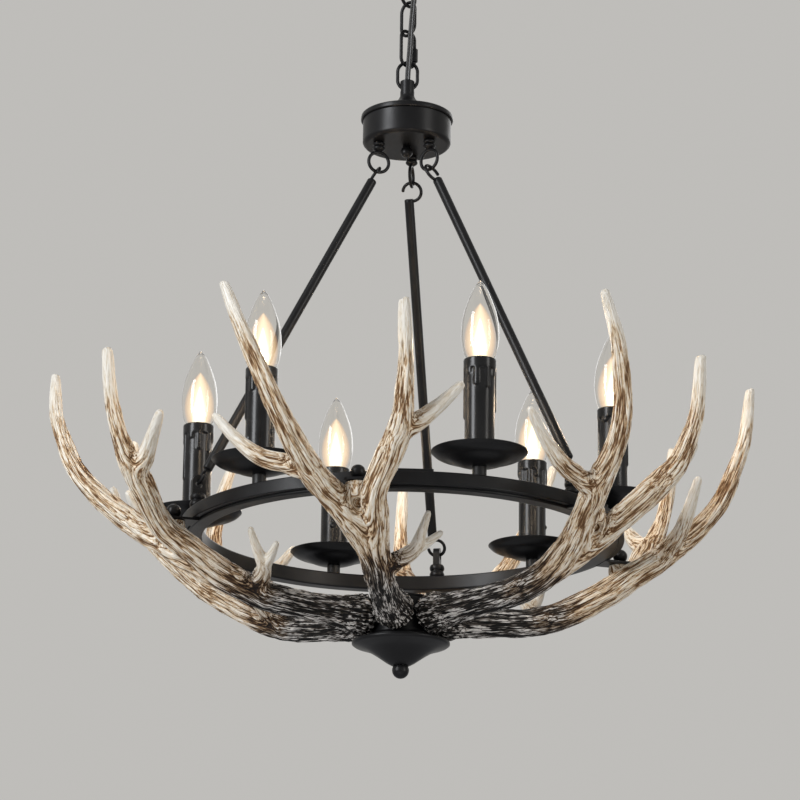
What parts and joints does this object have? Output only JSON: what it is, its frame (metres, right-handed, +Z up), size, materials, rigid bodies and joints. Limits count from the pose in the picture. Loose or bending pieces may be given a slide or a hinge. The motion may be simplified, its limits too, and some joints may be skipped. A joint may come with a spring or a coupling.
{
  "type": "ring chandelier",
  "caption": "Black metal ring chandelier with cast antlers rising round the ring and candle lights, hung by slanted rods from a cup on a short chain.",
  "frame": {"origin": "centre of the ceiling plate's bar, on the ceiling", "axes": "+Z up, +X along the bar's slots, -Y towards the side that the picture shows"},
  "size_m": [0.6772, 0.638, 0.7657],
  "materials": {
    "black_metal": "satin black paint",
    "zinc_steel": "zinc plated",
    "black_plastic": "matte",
    "gloss_black": "gloss black",
    "cord_jacket": "smooth jacket",
    "antler_resin": "cast resin, brown and ivory, dry-brushed",
    "bulb_screw": "rolled screw shell",
    "bulb_glass": "clear"
  },
  "bodies": {
    "canopy": {"canopy_shell": "black_metal", "crossbar": "zinc_steel", "canopy_nut": "zinc_steel", "canopy_loop": "black_metal", "cord_bushing": "black_plastic"},
    "chain": {"chain_links": "black_metal", "power_cord": "cord_jacket"},
    "quick_nut": {"quick_link_nut": "black_metal"},
    "fixture": {"cup_lid": "black_metal", "cup_body": "black_metal", "rod_eyes": "black_metal", "rod_1": "black_metal", "rod_2": "black_metal", "rod_3": "black_metal", "ring_tube": "black_metal", "ring_hoop": "black_metal", "ring_tabs": "black_metal", "splice_plate": "black_metal", "lampholders": "black_plastic", "drip_dishes": "black_metal", "candle_sleeves": "gloss_black", "antler_1": "antler_resin", "antler_2": "antler_resin", "antler_3": "antler_resin", "antler_4": "antler_resin", "antler_5": "antler_resin", "antler_6": "antler_resin", "ball_nuts": "black_metal", "hub_spool": "black_metal", "hub_cone": "black_metal", "hub_bolt": "black_metal"},
    "bulb_1": {"bulb_base_1": "bulb_screw", "bulb_glass_1": "bulb_glass"},
    "bulb_2": {"bulb_base_2": "bulb_screw", "bulb_glass_2": "bulb_glass"},
    "bulb_3": {"bulb_base_3": "bulb_screw", "bulb_glass_3": "bulb_glass"},
    "bulb_4": {"bulb_base_4": "bulb_screw", "bulb_glass_4": "bulb_glass"},
    "bulb_5": {"bulb_base_5": "bulb_screw", "bulb_glass_5": "bulb_glass"},
    "bulb_6": {"bulb_base_6": "bulb_screw", "bulb_glass_6": "bulb_glass"}
  },
  "joints": [
    {"name": "chain_swing", "type": "hinge", "parent": "canopy", "child": "chain", "pos_m": [0, 0, -0.052], "axis": [0.7071, -0.7071, 0], "range_deg": [-4, 4]},
    {"name": "quick_link_gate", "type": "slide", "parent": "chain", "child": "quick_nut", "axis": [0, 0, 1], "range_m": [0, 0.0082]},
    {"name": "fixture_swing", "type": "hinge", "parent": "chain", "child": "fixture", "pos_m": [0, 0, -0.1718], "axis": [1, 0, 0], "range_deg": [-4, 4]},
    {"name": "bulb_1_unscrew", "type": "slide", "parent": "fixture", "child": "bulb_1", "axis": [0, 0, 1], "range_m": [0, 0.022]},
    {"name": "bulb_2_unscrew", "type": "slide", "parent": "fixture", "child": "bulb_2", "axis": [0, 0, 1], "range_m": [0, 0.022]},
    {"name": "bulb_3_unscrew", "type": "slide", "parent": "fixture", "child": "bulb_3", "axis": [0, 0, 1], "range_m": [0, 0.022]},
    {"name": "bulb_4_unscrew", "type": "slide", "parent": "fixture", "child": "bulb_4", "axis": [0, 0, 1], "range_m": [0, 0.022]},
    {"name": "bulb_5_unscrew", "type": "slide", "parent": "fixture", "child": "bulb_5", "axis": [0, 0, 1], "range_m": [0, 0.022]},
    {"name": "bulb_6_unscrew", "type": "slide", "parent": "fixture", "child": "bulb_6", "axis": [0, 0, 1], "range_m": [0, 0.022]}
  ]
}
